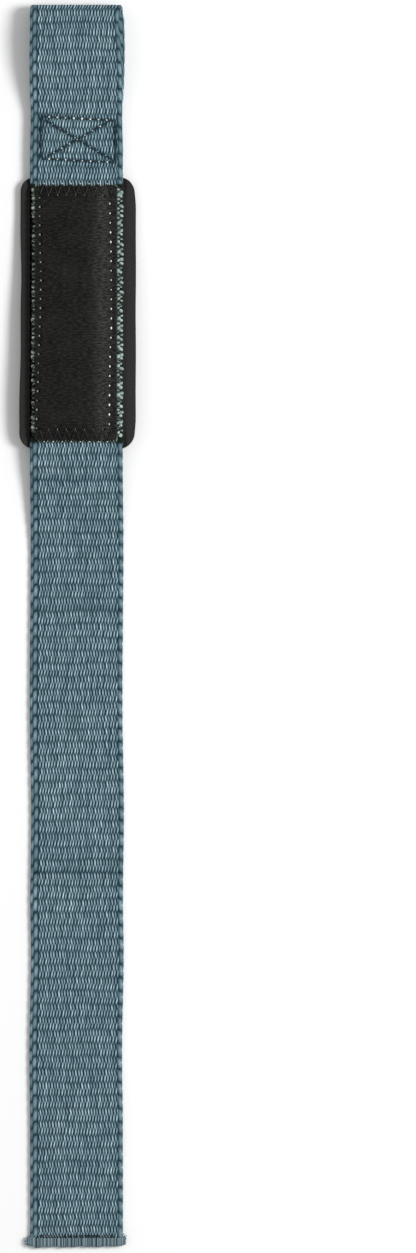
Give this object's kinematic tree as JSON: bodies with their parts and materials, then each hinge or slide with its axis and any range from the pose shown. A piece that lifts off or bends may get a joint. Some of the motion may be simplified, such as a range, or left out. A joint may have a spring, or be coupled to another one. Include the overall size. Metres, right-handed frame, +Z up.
{
  "type": "weightlifting strap",
  "caption": "Woven cotton lifting strap lying flat: an open sewn loop at one end, a padded wrist plate with a cover patch, and a long tail with a thread-bound end.",
  "frame": {"origin": "on the floor under the middle of the strap's box as it lies", "axes": "+Z up, +Y along the strap towards the loop's fold, +X across it, to the right when seen from above with the loop at the top"},
  "size_m": [0.047, 0.5026, 0.0118],
  "materials": {
    "webbing": "slate blue woven cotton, dull",
    "pad": "near-black foam rubber with a fine cloth face, dull",
    "patch": "black grained leather-like sheet, satin",
    "thread": "slate blue overlock thread, dull"
  },
  "bodies": {
    "root": {"webbing": "webbing", "wrist_pad": "pad", "cover_patch": "patch", "end_binding": "thread"}
  },
  "joints": []
}
